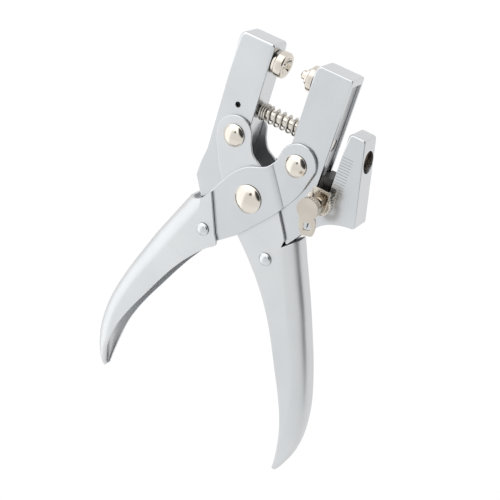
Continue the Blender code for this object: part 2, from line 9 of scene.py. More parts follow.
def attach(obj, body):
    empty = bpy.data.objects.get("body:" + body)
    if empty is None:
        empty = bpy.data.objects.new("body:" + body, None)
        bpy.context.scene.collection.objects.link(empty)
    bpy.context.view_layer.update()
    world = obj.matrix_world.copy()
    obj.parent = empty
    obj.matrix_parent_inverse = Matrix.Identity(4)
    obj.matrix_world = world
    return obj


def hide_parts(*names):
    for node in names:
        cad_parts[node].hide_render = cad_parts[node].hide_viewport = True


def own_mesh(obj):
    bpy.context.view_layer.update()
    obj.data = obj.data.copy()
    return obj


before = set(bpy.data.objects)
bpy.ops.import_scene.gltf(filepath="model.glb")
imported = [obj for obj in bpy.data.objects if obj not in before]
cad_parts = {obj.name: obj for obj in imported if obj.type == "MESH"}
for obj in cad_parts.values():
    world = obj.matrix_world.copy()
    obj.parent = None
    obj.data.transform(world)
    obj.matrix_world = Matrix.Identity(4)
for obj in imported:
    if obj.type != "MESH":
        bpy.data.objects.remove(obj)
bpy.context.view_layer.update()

MM = 0.001

# ---- sizes shared with the frame (millimetres) --------------------------------
GAP, T = 0.25, 0.9
LV = T + GAP
JAW_D = 9.3
Z_JB = 3 * LV
Z_JF = Z_JB + JAW_D
Z_MID = (Z_JB + Z_JF) / 2
L1 = (Z_JF + GAP, Z_JF + GAP + T)
L2 = (L1[1] + GAP, L1[1] + GAP + T)
L3 = (L2[1] + GAP, L2[1] + GAP + T)
BACK1 = 2 * Z_MID - L1[1]
BACK2 = 2 * Z_MID - L2[1]
JAW_IN, JAW_OUT = 8.0, 21.3
JAW_RIVET = (12.34, 18.35)
HANDLE_RIVET = (12.45, -18.1)
ROD_Y, ROD_R = 28.5, 2.0
DIE_Y = 46.2
LEFT_DIE_X, RIGHT_DIE_X = -3.8, 2.2
JAW_WALL = 1.2
ARM_IN = 25.9
STOP_AXIS = (24.1, 10.4)
PIN_X = -14.7
SET_X = 13.2

scene_coll = bpy.context.scene.collection
CUT = bpy.data.collections.new("cutters")
scene_coll.children.link(CUT)


# =============================== materials =====================================
def nodes_of(name):
    m = bpy.data.materials.new(name)
    m.use_nodes = True
    nt = m.node_tree
    nt.nodes.clear()
    out = nt.nodes.new("ShaderNodeOutputMaterial")
    b = nt.nodes.new("ShaderNodeBsdfPrincipled")
    nt.links.new(b.outputs[0], out.inputs[0])
    return m, nt, b


def noise(nt, vec, scale, detail=3.0, rough=0.5, dims='3D'):
    n = nt.nodes.new("ShaderNodeTexNoise")
    n.noise_dimensions = dims
    n.inputs["Scale"].default_value = scale
    n.inputs["Detail"].default_value = detail
    n.inputs["Roughness"].default_value = rough
    nt.links.new(vec, n.inputs["Vector"])
    return n.outputs["Fac"]


def mapping(nt, scale=(1, 1, 1), rot=(0, 0, 0)):
    tc = nt.nodes.new("ShaderNodeTexCoord")
    mp = nt.nodes.new("ShaderNodeMapping")
    mp.inputs["Scale"].default_value = scale
    mp.inputs["Rotation"].default_value = rot
    nt.links.new(tc.outputs["Object"], mp.inputs["Vector"])
    return mp.outputs[0]


def ramp(nt, fac, stops):
    r = nt.nodes.new("ShaderNodeValToRGB")
    els = r.color_ramp.elements
    while len(els) > 1:
        els.remove(els[-1])
    els[0].position, els[0].color = stops[0][0], (*stops[0][1], 1)
    for p, c in stops[1:]:
        e = els.new(p)
        e.color = (*c, 1)
    nt.links.new(fac, r.inputs[0])
    return r.outputs[0]


def maprange(nt, fac, a, b, c, d):
    m = nt.nodes.new("ShaderNodeMapRange")
    for k, v in zip(("From Min", "From Max", "To Min", "To Max"), (a, b, c, d)):
        m.inputs[k].default_value = v
    nt.links.new(fac, m.inputs["Value"])
    return m.outputs[0]


def math_node(nt, op, a, b):
    m = nt.nodes.new("ShaderNodeMath")
    m.operation = op
    for i, v in enumerate((a, b)):
        if isinstance(v, (int, float)):
            m.inputs[i].default_value = v
        else:
            nt.links.new(v, m.inputs[i])
    return m.outputs[0]


def bump(nt, b, height, strength, dist):
    n = nt.nodes.new("ShaderNodeBump")
    n.inputs["Strength"].default_value = strength
    n.inputs["Distance"].default_value = dist
    nt.links.new(height, n.inputs["Height"])
    nt.links.new(n.outputs[0], b.inputs["Normal"])


def plated(name, lo, hi, r0, r1, scratch=(900, 60, 60), bump_mm=0.0006,
           cloud=60.0, rot=(0, 0, 0)):
    """Plated metal: cloudy tint, fine polishing lines, tiny pits, rough patches."""
    m, nt, b = nodes_of(name)
    b.inputs["Metallic"].default_value = 1.0
    flat_v = mapping(nt)
    line_v = mapping(nt, scratch, rot)
    clouds = noise(nt, flat_v, cloud, 4.0, 0.55)
    lines = noise(nt, line_v, 1.0, 5.0, 0.65)
    pits = noise(nt, flat_v, 2600.0, 2.0, 0.5)
    col = ramp(nt, clouds, [(0.3, lo), (0.7, hi)])
    nt.links.new(col, b.inputs["Base Color"])
    mixr = math_node(nt, 'ADD', math_node(nt, 'MULTIPLY', clouds, 0.6),
                     math_node(nt, 'MULTIPLY', lines, 0.4))
    nt.links.new(maprange(nt, mixr, 0.3, 0.7, r0, r1), b.inputs["Roughness"])
    h = math_node(nt, 'ADD', math_node(nt, 'MULTIPLY', lines, 0.75),
                  math_node(nt, 'MULTIPLY', pits, 0.25))
    bump(nt, b, h, 0.22, bump_mm * MM)
    return m


CHROME = plated("chrome_plate", (0.575, 0.590, 0.605), (0.610, 0.622, 0.636),
                0.20, 0.27, (420, 420, 60), 0.0005)
CHROME_H = plated("chrome_handle", (0.585, 0.596, 0.608),
                  (0.615, 0.624, 0.633), 0.33, 0.41, (200, 50, 200), 0.0005)
NICKEL = plated("nickel_plate", (0.640, 0.590, 0.525), (0.700, 0.655, 0.595),
                0.09, 0.16, (500, 500, 90))
NICKEL_M = plated("nickel_matte", (0.500, 0.455, 0.400), (0.570, 0.522, 0.465),
                  0.34, 0.46, (400, 400, 400), 0.0015, 140.0)
STEEL = plated("plain_steel", (0.030, 0.030, 0.031), (0.075, 0.072, 0.070),
               0.30, 0.45, (60, 900, 60), 0.002, 160.0)
CORE_M = plated("core_steel", (0.40, 0.405, 0.415), (0.52, 0.525, 0.535),
                0.26, 0.40, (500, 30, 500), 0.002, 160.0)
SPRING = plated("spring_wire", (0.48, 0.455, 0.42), (0.60, 0.57, 0.53),
                0.14, 0.24, (700, 120, 120), 0.001, 200.0)
BRASS = plated("brass", (0.165, 0.095, 0.045), (0.36, 0.24, 0.13),
               0.24, 0.42, (90, 900, 900), 0.002, 260.0)


TILT = 1.0


def scale_lines(mat, y_top, count, x0, x1, z_min):
    """Engraved lines 1 mm apart on the arm's front face, by object place."""
    nt = mat.node_tree
    b = [n for n in nt.nodes if n.type == 'BSDF_PRINCIPLED'][0]
    src = b.inputs["Base Color"].links[0].from_socket
    tc = nt.nodes.new("ShaderNodeTexCoord")
    mp = nt.nodes.new("ShaderNodeMapping")
    mp.vector_type = 'TEXTURE'
    mp.inputs["Location"].default_value = (26.15 * MM, y_top * MM, 0)
    mp.inputs["Rotation"].default_value = (0, 0, math.radians(TILT))
    nt.links.new(tc.outputs["Object"], mp.inputs["Vector"])
    sep = nt.nodes.new("ShaderNodeSeparateXYZ")
    nt.links.new(mp.outputs[0], sep.inputs[0])
    pitch = 1000.0 / math.cos(math.radians(TILT))
    ph = math_node(nt, 'FRACT', math_node(
        nt, 'ADD', math_node(nt, 'MULTIPLY', sep.outputs["Y"], pitch),
        100.5), 0.0)
    d = math_node(nt, 'ABSOLUTE', math_node(nt, 'SUBTRACT', ph, 0.5), 0.0)
    line = maprange(nt, d, 0.07, 0.11, 1.0, 0.0)

    def gate(sock, lo, hi):
        return math_node(nt, 'MULTIPLY',
                         math_node(nt, 'GREATER_THAN', sock, lo * MM),
                         math_node(nt, 'LESS_THAN', sock, hi * MM))
    m = math_node(nt, 'MULTIPLY', line, gate(sep.outputs["X"], x0, x1))
    m = math_node(nt, 'MULTIPLY', m, gate(sep.outputs["Y"],
                                          -count + 0.5, 0.5))
    m = math_node(nt, 'MULTIPLY', m, math_node(
        nt, 'GREATER_THAN', sep.outputs["Z"], z_min * MM))
    mix = nt.nodes.new("ShaderNodeMix")
    mix.data_type = 'RGBA'
    nt.links.new(m, mix.inputs["Factor"])
    nt.links.new(src, mix.inputs["A"])
    mix.inputs["B"].default_value = (0.38, 0.385, 0.395, 1)
    nt.links.new(mix.outputs["Result"], b.inputs["Base Color"])
    return mat


ARM_M = scale_lines(plated(
    "chrome_scale", (0.575, 0.590, 0.605), (0.610, 0.622, 0.636), 0.20, 0.27,
    (420, 420, 60), 0.0005), 28.3, 13, 0.0, 4.1, Z_JF - 0.3)


# =============================== mesh helpers ===================================
def add(name, me, mat, coll=scene_coll):
    ob = bpy.data.objects.new(name, me)
    coll.objects.link(ob)
    if mat is not None:
        me.materials.clear()
        me.materials.append(mat)
    if coll is CUT:
        ob.hide_render = True
        ob.hide_viewport = False
        ob.display_type = 'WIRE'
    return ob


def circle(cx, cy, r, n=64):
    return [(cx + r * math.cos(2 * math.pi * i / n),
             cy + r * math.sin(2 * math.pi * i / n)) for i in range(n)]


def arc(cx, cy, r, a0, a1, n):
    return [(cx + r * math.cos(math.radians(a0 + (a1 - a0) * i / n)),
             cy + r * math.sin(math.radians(a0 + (a1 - a0) * i / n)))
            for i in range(n + 1)]


def catmull(p, n=4):
    out = []
    for i in range(len(p) - 1):
        a, b, c, d = p[max(i - 1, 0)], p[i], p[i + 1], p[min(i + 2, len(p) - 1)]
        for k in range(n):
            t = k / n
            out.append(tuple(
                0.5 * (2 * b[j] + (c[j] - a[j]) * t
                       + (2 * a[j] - 5 * b[j] + 4 * c[j] - d[j]) * t * t
                       + (3 * b[j] - a[j] - 3 * c[j] + d[j]) * t ** 3)
                for j in range(len(b))))
    out.append(tuple(p[-1]))
    return out


def mirror_x(pts):
    return [(-x, y) for x, y in reversed(pts)]


def evaluated(ob):
    dg = bpy.context.evaluated_depsgraph_get()
    return bpy.data.meshes.new_from_object(ob.evaluated_get(dg))


def tidy(me, dist=1e-7):
    bm = bmesh.new()
    bm.from_mesh(me)
    bmesh.ops.remove_doubles(bm, verts=bm.verts, dist=dist)
    bmesh.ops.dissolve_degenerate(bm, edges=bm.edges, dist=dist)
    bmesh.ops.recalc_face_normals(bm, faces=bm.faces)
    bm.to_mesh(me)
    bm.free()
    return me


def flat(name, loops, z0, z1, mat=None, coll=scene_coll):
    cu = bpy.data.curves.new(name, 'CURVE')
    cu.dimensions = '2D'
    cu.fill_mode = 'BOTH'
    cu.extrude = (z1 - z0) / 2 * MM
    for loop in loops:
        sp = cu.splines.new('POLY')
        sp.points.add(len(loop) - 1)
        for p, (x, y) in zip(sp.points, loop):
            p.co = (x * MM, y * MM, 0, 1)
        sp.use_cyclic_u = True
    tmp = bpy.data.objects.new(name + "_outline", cu)
    scene_coll.objects.link(tmp)
    me = evaluated(tmp)
    bpy.data.objects.remove(tmp, do_unlink=True)
    me.transform(Matrix.Translation((0, 0, (z0 + z1) / 2 * MM)))
    # flat caps become single faces again, so that bevels run cleanly
    bm = bmesh.new()
    bm.from_mesh(me)
    bmesh.ops.remove_doubles(bm, verts=bm.verts, dist=1e-7)
    if len(loops) == 1:
        bmesh.ops.dissolve_limit(bm, angle_limit=math.radians(0.5),
                                 verts=bm.verts, edges=bm.edges,
                                 delimit={'NORMAL'})
    bmesh.ops.recalc_face_normals(bm, faces=bm.faces)
    bm.to_mesh(me)
    bm.free()
    me.name = name
    return add(name, me, mat, coll)


ROT = {'Z': Matrix.Identity(4),
       'X': Matrix.Rotation(math.radians(90), 4, 'Y'),
       'Y': Matrix.Rotation(math.radians(-90), 4, 'X')}


def turned(name, prof, at=(0, 0, 0), axis='Z', mat=None, steps=72,
           coll=scene_coll, sharp=32):
    me = bpy.data.meshes.new(name)
    bm = bmesh.new()
    vs = [bm.verts.new((max(r, 0.0) * MM, 0, h * MM)) for r, h in prof]
    for a, b in zip(vs, vs[1:]):
        bm.edges.new((a, b))
    if prof[0] == prof[-1]:
        bmesh.ops.remove_doubles(bm, verts=bm.verts, dist=1e-8)
    bm.to_mesh(me)
    bm.free()
    ob = add(name, me, mat, coll)
    sc = ob.modifiers.new("turn", 'SCREW')
    sc.axis = 'Z'
    sc.angle = 2 * math.pi
    sc.steps = sc.render_steps = steps
    sc.use_merge_vertices = True
    sc.merge_threshold = 0.000002
    m2 = evaluated(ob)
    ob.modifiers.clear()
    m2.transform(Matrix.Translation(Vector(at) * MM) @ ROT[axis])
    tidy(m2, 2e-7)
    ob.data = m2
    if mat is not None:
        m2.materials.clear()
        m2.materials.append(mat)
    m2.shade_smooth()
    m2.set_sharp_from_angle(angle=math.radians(sharp))
    return ob


def rod_cut(name, at, axis, r, length, steps=48):
    h = length / 2
    return turned(name, [(0, h), (r, h), (r, -h), (0, -h)], at, axis, None,
                  steps, CUT)


def boolean(ob, cutter, op='DIFFERENCE'):
    m = ob.modifiers.new(op.lower(), 'BOOLEAN')
    m.object = cutter
    m.operation = op
    m.solver = 'EXACT'
    return m


def bake(ob):
    me = evaluated(ob)
    ob.modifiers.clear()
    ob.data = me
    bm = bmesh.new()
    bm.from_mesh(me)
    bmesh.ops.remove_doubles(bm, verts=bm.verts, dist=5e-7)
    bmesh.ops.dissolve_degenerate(bm, edges=bm.edges, dist=5e-7)
    bmesh.ops.dissolve_limit(bm, angle_limit=math.radians(0.3),
                             verts=bm.verts, edges=bm.edges,
                             delimit={'NORMAL'})
    bm.to_mesh(me)
    bm.free()
    return ob


def finish_edges(ob, width, segments=3, angle=32, sharp=28, clamp=True):
    """Rounded edges with face-weighted normals, so flats stay flat."""
    if width > 0:
        bv = ob.modifiers.new("edge", 'BEVEL')
        bv.width = width * MM
        bv.segments = segments
        bv.limit_method = 'ANGLE'
        bv.angle_limit = math.radians(angle)
        bv.use_clamp_overlap = clamp
        bv.miter_outer = 'MITER_ARC'
        me = evaluated(ob)
        ob.modifiers.clear()
        ob.data = me
    ob.data.shade_smooth()
    ob.data.set_sharp_from_angle(angle=math.radians(sharp))
    wn = ob.modifiers.new("normals", 'WEIGHTED_NORMAL')
    wn.mode = 'FACE_AREA'
    wn.weight = 60
    wn.keep_sharp = True
    return ob


def edge_by_place(ob, test, big, small, segments=5):
    """Bevel with a large radius where test(edge centre) holds, else small."""
    me = ob.data
    bm = bmesh.new()
    bm.from_mesh(me)
    lay = bm.edges.layers.float.new("bevel_weight_edge")
    for e in bm.edges:
        if len(e.link_faces) != 2:
            continue
        a = e.calc_face_angle(0)
        if a < math.radians(40):
            continue
        c = (e.verts[0].co + e.verts[1].co) / 2
        e[lay] = 1.0 if test(c) else small / big
    bm.to_mesh(me)
    bm.free()
    bv = ob.modifiers.new("edge", 'BEVEL')
    bv.width = big * MM
    bv.segments = segments
    bv.limit_method = 'WEIGHT'
    bv.miter_outer = 'MITER_SHARP'
    ob.data = evaluated(ob)
    ob.modifiers.clear()
    return ob


def place(ob, body, *nodes, slot=None):
    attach(ob, body)
    if nodes:
        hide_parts(*nodes)
    return ob


def dome(r, h, n=20):
    R = (r * r + h * h) / (2 * h)
    top = math.asin(min(1, r / R))
    return [(R * math.sin(top * i / n), h - R * (1 - math.cos(top * i / n)))
            for i in range(n + 1)]


# =============================== handles =========================================
RAIL = [((6.0, -21.0), (21.8, -8.2)), ((8.8, -24.0), (24.4, -14.0)),
        ((11.7, -27.2), (27.2, -20.2)), ((16.6, -33.6), (31.4, -29.5)),
        ((20.8, -40.2), (35.4, -39.2)), ((24.8, -47.6), (39.4, -49.3)),
        ((28.7, -55.5), (42.6, -58.8)), ((32.6, -63.3), (44.8, -67.2)),
        ((36.0, -71.2), (45.9, -75.2)), ((38.2, -78.0), (46.0, -82.0)),
        ((39.4, -84.5), (45.0, -88.5)), ((39.9, -90.5), (43.3, -93.7)),
        ((39.9, -95.0), (41.9, -97.0)), ((39.5, -97.6), (40.7, -98.9))]
WIDE = [(-8, 8.1), (-27, 8.1), (-46, 7.0), (-62, 6.3), (-80, 5.7),
        (-89, 5.1), (-94, 4.1), (-97.2, 2.8), (-99, 1.7)]
SLIM = [(-8, 5.8), (-60, 5.8), (-80, 5.5), (-89, 4.9),
        (-94, 3.9), (-97.2, 2.7), (-99, 1.7)]


def half_width(y, keys):
    """Smooth half width, through the keys."""
    if y >= keys[0][0]:
        return keys[0][1]
    if y <= keys[-1][0]:
        return keys[-1][1]
    for i in range(len(keys) - 1):
        (y0, w0), (y1, w1) = keys[i], keys[i + 1]
        if y >= y1:
            def slope(k):
                if k <= 0 or k >= len(keys) - 1:
                    return 0.0
                a = (keys[k][1] - keys[k - 1][1]) / (keys[k][0] - keys[k - 1][0])
                b = (keys[k + 1][1] - keys[k][1]) / (keys[k + 1][0] - keys[k][0])
                return 0.0 if a * b <= 0 else 2 * a * b / (a + b)
            h = y1 - y0
            t = (y - y0) / h
            m0, m1 = slope(i) * h, slope(i + 1) * h
            return ((2 * t ** 3 - 3 * t * t + 1) * w0
                    + (t ** 3 - 2 * t * t + t) * m0
                    + (-2 * t ** 3 + 3 * t * t) * w1 + (t ** 3 - t * t) * m1)
    return keys[-1][1]


def channel(name, side, keys, mat):
    left = side < 0
    top = ([((9.5, -15.5), (19.4, -3.0)), RAIL[0]] if left else
           [((6.0, -21.0), (21.2, -6.8))])
    rows = catmull([(a[0], a[1], b[0], b[1]) for a, b in top + RAIL[1:]], 5)
    NA = 14
    round_plan, round_thick = (7.2, 5.4) if left else (7.0, 4.8)

    def section(ix, iy, ox, oy, hw, t):
        dx, dy = ox - ix, oy - iy
        L = math.hypot(dx, dy)
        ux, uy = dx / L, dy / L
        reach, h = L - t, hw - t
        rx = max(min(round_plan - t, reach * 0.92), 0.12)
        rz = max(min(round_thick - t, h * 0.93), 0.12)
        pts = [(0, h), ((reach - rx) * 0.33, h), ((reach - rx) * 0.66, h)]
        for i in range(NA + 1):
            a = math.radians(90 - 90 * i / NA)
            pts.append((reach - rx + rx * math.cos(a),
                        h - rz + rz * math.sin(a)))
        pts += [(u, -z) for u, z in reversed(pts)]
        return [(side * (ix + ux * u), iy + uy * u, Z_MID + z)
                for u, z in pts]

    bm = bmesh.new()
    rings = []
    for ix, iy, ox, oy in rows:
        hw = half_width(oy, keys)
        ring = section(ix, iy, ox, oy, hw, 0.0)
        ring += list(reversed(section(ix, iy, ox, oy, hw, T)))
        rings.append([bm.verts.new([c * MM for c in p]) for p in ring])
    n = len(rings[0])
    for a, b in zip(rings, rings[1:]):
        for i in range(n):
            j = (i + 1) % n
            bm.faces.new((a[i], a[j], b[j], b[i]))
    half = n // 2
    for ring in (rings[0], rings[-1]):
        for i in range(half - 1):
            bm.faces.new((ring[i], ring[i + 1],
                          ring[n - 2 - i], ring[n - 1 - i]))
    for v in bm.verts:
        v.co.x = max(-45.99 * MM, min(45.99 * MM, v.co.x))
    bmesh.ops.recalc_face_normals(bm, faces=bm.faces)
    me = bpy.data.meshes.new(name)
    bm.to_mesh(me)
    bm.free()
    return add(name, me, mat)


HOLE_MAIN = circle(0, 0, 3.05)
R_LINK = ([(6.0, -21.0), (8.8, -22.6), (14.6, -17.2), (16.4, -12.0),
           (17.0, -8.2)]
          + catmull([(16.2, -6.6), (11.7, 0.6), (9.6, 3.4), (8.2, 5.4),
                     (5.8, 8.0), (2.8, 10.5), (0.0, 12.7), (-3.5, 14.8),
                     (-5.4, 18.2)], 8)
          + arc(-JAW_RIVET[0], 18.5, 6.9, 28, 190, 40)
          + catmull([(-18.6, 14.6), (-17.1, 11.3), (-15.1, 6.8),
                     (-13.2, 3.2), (-10.9, -0.7)], 8)
          + [(-5.2, -8.0), (0.0, -15.3)])
right_handle = channel("vis_right_handle", 1, SLIM, CHROME_H)
for k, (z0, z1) in enumerate((L1, (2 * Z_MID - L1[1], 2 * Z_MID - L1[0]))):
    boolean(right_handle, flat("v_rlink_%d" % k, [R_LINK], z0, z1, None, CUT),
            'UNION')
boolean(right_handle, rod_cut("v_rh_a", (*HANDLE_RIVET, Z_MID), 'Z', 1.55, 40))
boolean(right_handle, rod_cut("v_rh_b", (0, 0, Z_MID), 'Z', 3.05, 40))
boolean(right_handle, rod_cut("v_rh_c", (-JAW_RIVET[0], JAW_RIVET[1], Z_MID),
                              'Z', 2.45, 40))
bake(right_handle)
tidy(right_handle.data, 0.05 * MM)
finish_edges(right_handle, 0.36, 5, 40, 30, clamp=False)
place(right_handle, "right_handle", "right_handle", slot="chrome_plate")

left_handle = channel("vis_left_handle", -1, WIDE, CHROME_H)
boolean(left_handle, flat("v_lh_end", [[
    (-11.0, 1.0), (-27.0, 1.0), (-27.0, -11.6), (-19.5, -9.6),
    (-16.9, -8.1), (-13.6, -3.6), (-11.0, -2.5)]], -1.0, 17.5, None, CUT))
L_WALL = [(-7.0, -19.6), (-13.6, -3.6), (-16.7, -7.9), (-15.9, -12.4),
          (-14.6, -17.2), (-8.8, -22.6), (-6.0, -21.0)]
for k, (z0, z1) in enumerate((L3, (2 * Z_MID - L3[1], 2 * Z_MID - L3[0]))):
    boolean(left_handle, flat("v_lwall_%d" % k, [L_WALL], z0, z1, None, CUT),
            'UNION')
boolean(left_handle, rod_cut("v_lh_a", (-HANDLE_RIVET[0], HANDLE_RIVET[1],
                                        Z_MID), 'Z', 1.55, 40))
bake(left_handle)
finish_edges(left_handle, 0.26, 3, 40, 30)
place(left_handle, "left_handle", "left_handle", slot="chrome_plate")

# =============================== links ============================================
LINK = (arc(JAW_RIVET[0] + 0.2, 19.3, 6.9, -12, 158, 40)
        + catmull([(5.1, 17.3), (3.3, 14.4), (0.6, 12.7), (-3.7, 10.8),
                   (-7.5, 7.5), (-10.6, 3.0), (-14.2, -3.4)], 8)
        + [(-16.2, -8.6), (-16.4, -12.6), (-14.9, -20.6), (-9.2, -22.2),
           (-6.9, -20.7), (-0.4, -15.0)]
        + catmull([(5.2, -8.0), (10.9, -0.7), (13.2, 3.2), (15.4, 6.9),
                   (17.6, 11.8)], 8))
JOG_A = Vector((3.35, 13.9, 0))
JOG_B = Vector((12.1, 1.1, 0))
JOG_W = 1.8


def link_plate(name, front, mat):
    z0, z1 = L2
    ob = flat(name, [LINK], z0, z1, mat)
    tag = name[-5:]
    boolean(ob, rod_cut("v_la_" + tag, (0, 0, Z_MID), 'Z', 3.05, 40))
    boolean(ob, rod_cut("v_lb_" + tag, (*JAW_RIVET, Z_MID), 'Z', 2.45, 40))
    boolean(ob, rod_cut("v_lc_" + tag, (-HANDLE_RIVET[0], HANDLE_RIVET[1],
                                        Z_MID), 'Z', 1.55, 40))
    bake(ob)
    bm = bmesh.new()
    bm.from_mesh(ob.data)
    d = (JOG_B - JOG_A).normalized()
    nrm = Vector((-d.y, d.x, 0))
    if nrm.x < 0:
        nrm = -nrm
    N = 8
    for i in range(N + 1):
        bmesh.ops.bisect_plane(
            bm, geom=list(bm.verts) + list(bm.edges) + list(bm.faces),
            plane_co=(JOG_A + nrm * JOG_W * i / N) * MM, plane_no=nrm)
    for v in bm.verts:
        s = (Vector((v.co.x, v.co.y, 0)) - JOG_A * MM).dot(nrm) / (JOG_W * MM)
        s = max(0.0, min(1.0, s))
        s = 0.8 * s + 0.2 * s * s
        v.co.z -= LV * MM * s
    if not front:
        for v in bm.verts:
            v.co.z = 2 * Z_MID * MM - v.co.z
    bmesh.ops.recalc_face_normals(bm, faces=bm.faces)
    bm.to_mesh(ob.data)
    bm.free()
    tidy(ob.data, 0.06 * MM)
    finish_edges(ob, 0.42, 5, 50, 27, clamp=False)
    place(ob, "left_handle", "left_link_" + tag.strip("_"),
          slot="chrome_plate")
    return ob


link_plate("vis_link_front", True, CHROME)
link_plate("vis_link__back", False, CHROME)


# =============================== rivets ============================================
def rivet(name, at, r, top, bottom, head_r, head_h, back_r, back_h, mat,
          body, node, slot):
    lip = 0.25
    d = dome(head_r - 0.12, head_h - lip)
    prof = [(a, top + lip + b) for a, b in d]
    prof += [(head_r - 0.03, top + lip - 0.06), (head_r, top + lip - 0.14),
             (head_r, top + 0.06), (head_r - 0.06, top), (r, top), (r, bottom)]
    if back_h > 0:
        prof += [(back_r - 0.06, bottom), (back_r, bottom - 0.06)]
        flat_r = back_r * 0.74
        for i in range(13):
            a = math.radians(90 * i / 12)
            prof.append((flat_r + (back_r - flat_r) * math.cos(a),
                         bottom - back_h * (0.25 + 0.75 * math.sin(a))))
        prof.append((0, bottom - back_h))
    else:
        prof += [(0, bottom)]
    ob = turned(name, prof, (at[0], at[1], 0), 'Z', mat, 96)
    return place(ob, body, node, slot=slot)


rivet("vis_main_rivet", (0, 0), 2.8, L2[1] + GAP, BACK2 - GAP, 5.15, 2.45,
      5.0, BACK2 - GAP, NICKEL, "right_handle", "main_pivot_rivet",
      "nickel_plate")
rivet("vis_left_jaw_rivet", (-JAW_RIVET[0], JAW_RIVET[1]), 2.2, L1[1] + GAP,
      BACK1 - GAP, 4.0, 2.15, 4.0, BACK1 - GAP, NICKEL, "right_handle",
      "left_jaw_rivet", "nickel_plate")
rivet("vis_right_jaw_rivet", JAW_RIVET, 2.2, L1[1] + GAP, BACK1 - GAP,
      4.0, 2.15, 4.0, BACK1 - GAP, NICKEL, "left_handle", "right_jaw_rivet",
      "nickel_plate")
rivet("vis_right_handle_rivet", HANDLE_RIVET, 1.3, L1[1] + GAP, BACK1 - GAP,
      2.35, 1.25, 2.35, BACK1 - GAP, CHROME, "right_handle",
      "right_handle_rivet", "chrome_plate")
rivet("vis_left_handle_rivet", (-HANDLE_RIVET[0], HANDLE_RIVET[1]), 1.3,
      L3[1] + GAP, 0.0, 2.35, 1.25, 0, 0, CHROME, "left_handle",
      "left_handle_rivet", "chrome_plate")

# =============================== jaws ===============================================
JAW_TOP = 52.6


def jaw_outline(inner_r, outer_r, n):
    return (arc(8.0 + inner_r, JAW_TOP - inner_r, inner_r, 180, 90, n)
            + arc(21.3 - outer_r, JAW_TOP - outer_r, outer_r, 90, 0, n)
            + [(21.3, 9.0), (22.3, 3.0), (22.6, -1.9)]
            + arc(17.62, -9.12, 0.55, -35, -140, 6)
            + [(15.4, -7.4), (11.0, 1.0), (8.0, 8.0)])


JAW_R = jaw_outline(2.0, 0.7, 14)
JAW_L = jaw_outline(1.1, 2.3, 14)
POCKET = ([(9.2, -30.0), (30.0, -30.0), (30.0, 50.2), (18.8, 50.2)]
          + arc(18.0, 50.2, 0.8, 0, 90, 5) + arc(10.4, 49.8, 1.2, 90, 180, 8))
CORE_R = ([(9.45, 12.6), (20.4, 12.6), (20.4, 49.9), (18.5, 49.9)]
          + arc(17.7, 49.9, 0.8, 0, 90, 5) + arc(10.65, 49.5, 1.2, 90, 180, 8))
CORE_L = [(x, y if y > 20 else 6.0) for x, y in CORE_R]
PZ0, PZ1 = Z_JB + JAW_WALL, Z_JF - JAW_WALL
CZ0, CZ1 = PZ0 + GAP, PZ1 - GAP


def jaw(side):
    nm = "right" if side > 0 else "left"

    def sd(p):
        return p if side > 0 else mirror_x(p)
    hs = flat("vis_%s_jaw_housing" % nm, [sd(JAW_R if side > 0 else JAW_L)],
              Z_JB, Z_JF, CHROME)
    # the pressed top is rounded over more softly than the long edges
    hs = edge_by_place(hs, lambda c: c.y > 50.0 * MM, 1.25, 0.30)
    boolean(hs, flat("v_%s_pocket" % nm, [sd(POCKET)], PZ0, PZ1, None, CUT))
    hs.data = evaluated(hs)
    hs.modifiers.clear()
    boolean(hs, rod_cut("v_%s_web" % nm, (side * 8.6, ROD_Y, Z_MID), 'X',
                        ROD_R + 0.3, 4))
    boolean(hs, rod_cut("v_%s_dieh" % nm, (side * 8.6, DIE_Y, Z_MID), 'X',
                        2.2, 4))
    boolean(hs, rod_cut("v_%s_riv" % nm, (side * JAW_RIVET[0], JAW_RIVET[1],
                                          Z_MID), 'Z', 2.45, 30))
    boolean(hs, rod_cut("v_%s_set" % nm, (side * SET_X, DIE_Y, 3.9), 'Z',
                        1.45, 2.4))
    if side < 0:
        boolean(hs, rod_cut("v_pinwall", (PIN_X, ROD_Y, Z_MID), 'Z', 1.05, 30))
    hs.data = evaluated(hs)
    hs.modifiers.clear()
    finish_edges(hs, 0)
    place(hs, nm + "_jaw", nm + "_jaw_housing", slot="chrome_plate")
    core = flat("vis_%s_jaw_core" % nm, [sd(CORE_R if side > 0 else CORE_L)],
                CZ0, CZ1, CORE_M)
    bake(core)
    finish_edges(core, 0.2, 3)
    core.data = evaluated(core)
    core.modifiers.clear()
    boolean(core, rod_cut("v_%s_crod" % nm, (side * 15, ROD_Y, Z_MID), 'X',
                          ROD_R + (0.15 if side > 0 else 0.25), 30))
    boolean(core, rod_cut("v_%s_cdie" % nm, (side * 12, DIE_Y, Z_MID), 'X',
                          2.2, 12))
    boolean(core, rod_cut("v_%s_criv" % nm, (side * JAW_RIVET[0],
                                             JAW_RIVET[1], Z_MID), 'Z',
                          2.45, 30))
    boolean(core, rod_cut("v_%s_cset" % nm, (side * SET_X, DIE_Y, 5.4), 'Z',
                          1.45, 2.4))
    if side < 0:
        boolean(core, rod_cut("v_pincore", (PIN_X, ROD_Y, Z_MID), 'Z',
                              0.95, 30))
    core.data = evaluated(core)
    core.modifiers.clear()
    finish_edges(core, 0)
    place(core, nm + "_jaw", nm + "_jaw_core", slot="plain_steel")


jaw(-1)
jaw(1)

# =============================== rod and spring =======================================
rod = turned("vis_guide_rod", [(0, 20.3), (1.85, 20.3), (1.95, 20.25),
                               (2.0, 20.15), (2.0, -19.3), (1.7, -19.6),
                               (0, -19.6)],
             (0, ROD_Y, Z_MID), 'X', NICKEL, 72)
place(rod, "left_jaw", "guide_rod_punch", slot="nickel_plate")

WIRE, COIL_R = 0.7, 2.8


